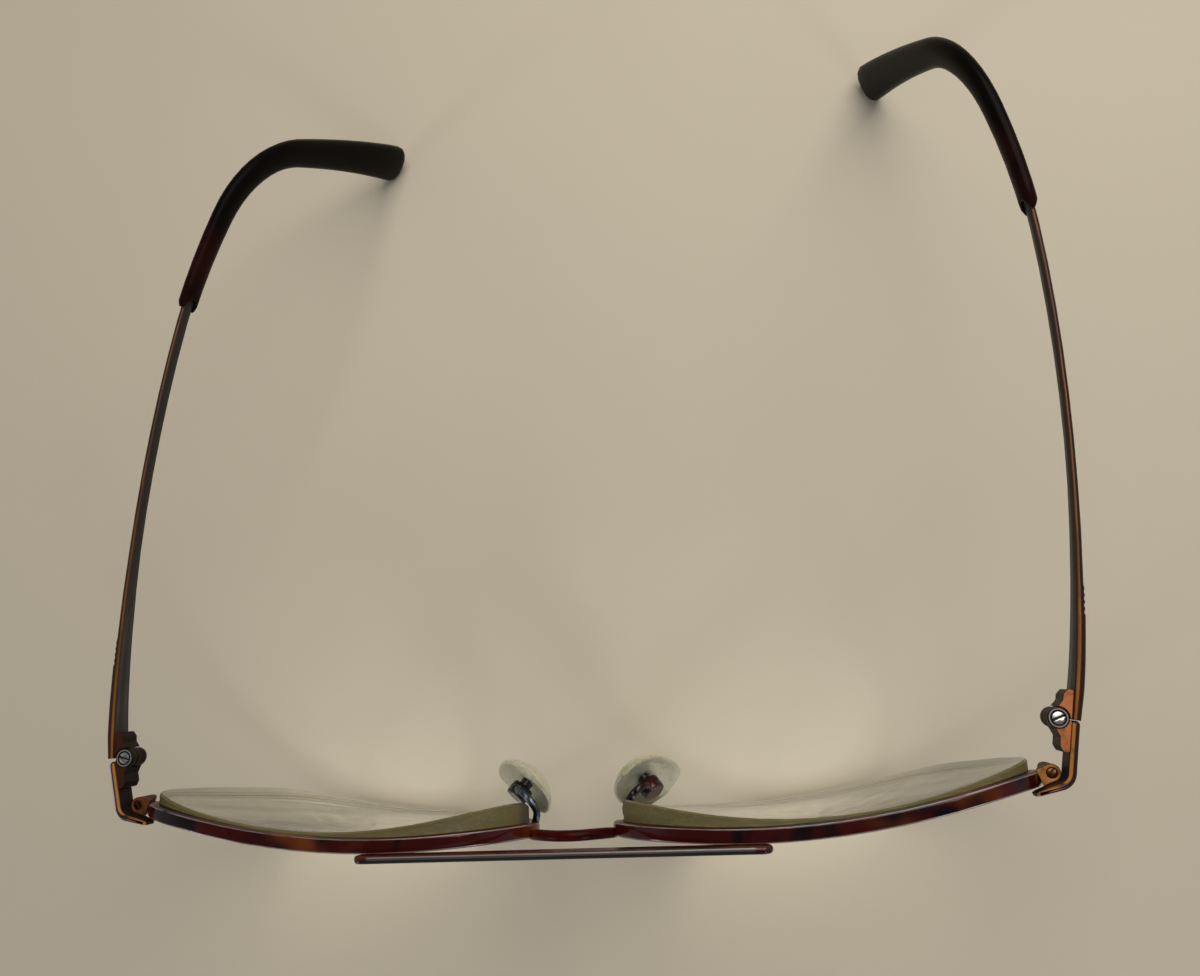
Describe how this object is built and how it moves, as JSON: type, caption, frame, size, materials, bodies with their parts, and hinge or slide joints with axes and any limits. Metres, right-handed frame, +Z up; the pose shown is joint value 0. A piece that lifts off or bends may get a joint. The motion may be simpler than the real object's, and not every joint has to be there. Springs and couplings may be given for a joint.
{
  "type": "spectacle frame",
  "caption": "Metal spectacle frame with rimmed clear lenses, a lower bridge and a straight brow bar, rocking nose pads and hinged temples that fold",
  "frame": {"origin": "on the table under the middle of the whole frame's box", "axes": "+X to the wearer's left, across the front; +Y from the front back along the temples; +Z up; the lower rims and the temple ends rest at z = 0"},
  "size_m": [0.1363, 0.1304, 0.0414],
  "materials": {
    "lens": "clear, polished",
    "pad": "translucent, satin",
    "sleeve": "near black brown, glossy",
    "steel": "bright",
    "stud": "satin",
    "worn_steel": "dulled",
    "bronze": "copper coloured lacquer",
    "temple": "dark brown lacquer",
    "blackened": "dark, partly worn bright",
    "lacquer": "dark red lacquer, glossy"
  },
  "bodies": {
    "front": {"rim_left": "lacquer", "rim_right": "lacquer", "lens_left": "lens", "lens_right": "lens", "brow_bar": "lacquer", "bridge": "lacquer", "closing_block_upper_left": "bronze", "closing_block_upper_right": "bronze", "closing_block_lower_left": "bronze", "closing_block_lower_right": "bronze", "lock_screw_left": "worn_steel", "lock_screw_right": "worn_steel", "endpiece_left": "bronze", "endpiece_right": "bronze", "hinge_front_left": "bronze", "hinge_front_right": "bronze", "hinge_screw_left": "steel", "hinge_screw_right": "steel", "pad_arm_left": "blackened", "pad_arm_right": "blackened", "pad_box_left": "blackened", "pad_box_right": "blackened", "pad_screw_left": "steel", "pad_screw_right": "steel"},
    "temple_left": {"temple_left": "temple", "temple_tip_left": "sleeve", "hinge_rear_left": "bronze"},
    "temple_right": {"temple_right": "temple", "temple_tip_right": "sleeve", "hinge_rear_right": "bronze"},
    "nose_pad_left": {"nose_pad_left": "pad", "pad_stud_left": "stud"},
    "nose_pad_right": {"nose_pad_right": "pad", "pad_stud_right": "stud"}
  },
  "joints": [
    {"name": "temple_left_hinge", "type": "hinge", "parent": "front", "child": "temple_left", "pos_m": [0.06096, -0.0494, 0.0351], "axis": [0, 0, 1], "range_deg": [0, 88]},
    {"name": "temple_right_hinge", "type": "hinge", "parent": "front", "child": "temple_right", "pos_m": [-0.0654, -0.0494, 0.0351], "axis": [0, 0, -1], "range_deg": [-10.6, 67]},
    {"name": "nose_pad_left_rock", "type": "hinge", "parent": "front", "child": "nose_pad_left", "pos_m": [0.00778, -0.05782, 0.01866], "axis": [-0.766, -0.6428, 0], "range_deg": [-8, 8]},
    {"name": "nose_pad_right_rock", "type": "hinge", "parent": "front", "child": "nose_pad_right", "pos_m": [-0.01222, -0.05782, 0.01866], "axis": [0.766, -0.6428, 0], "range_deg": [-8, 8]}
  ]
}
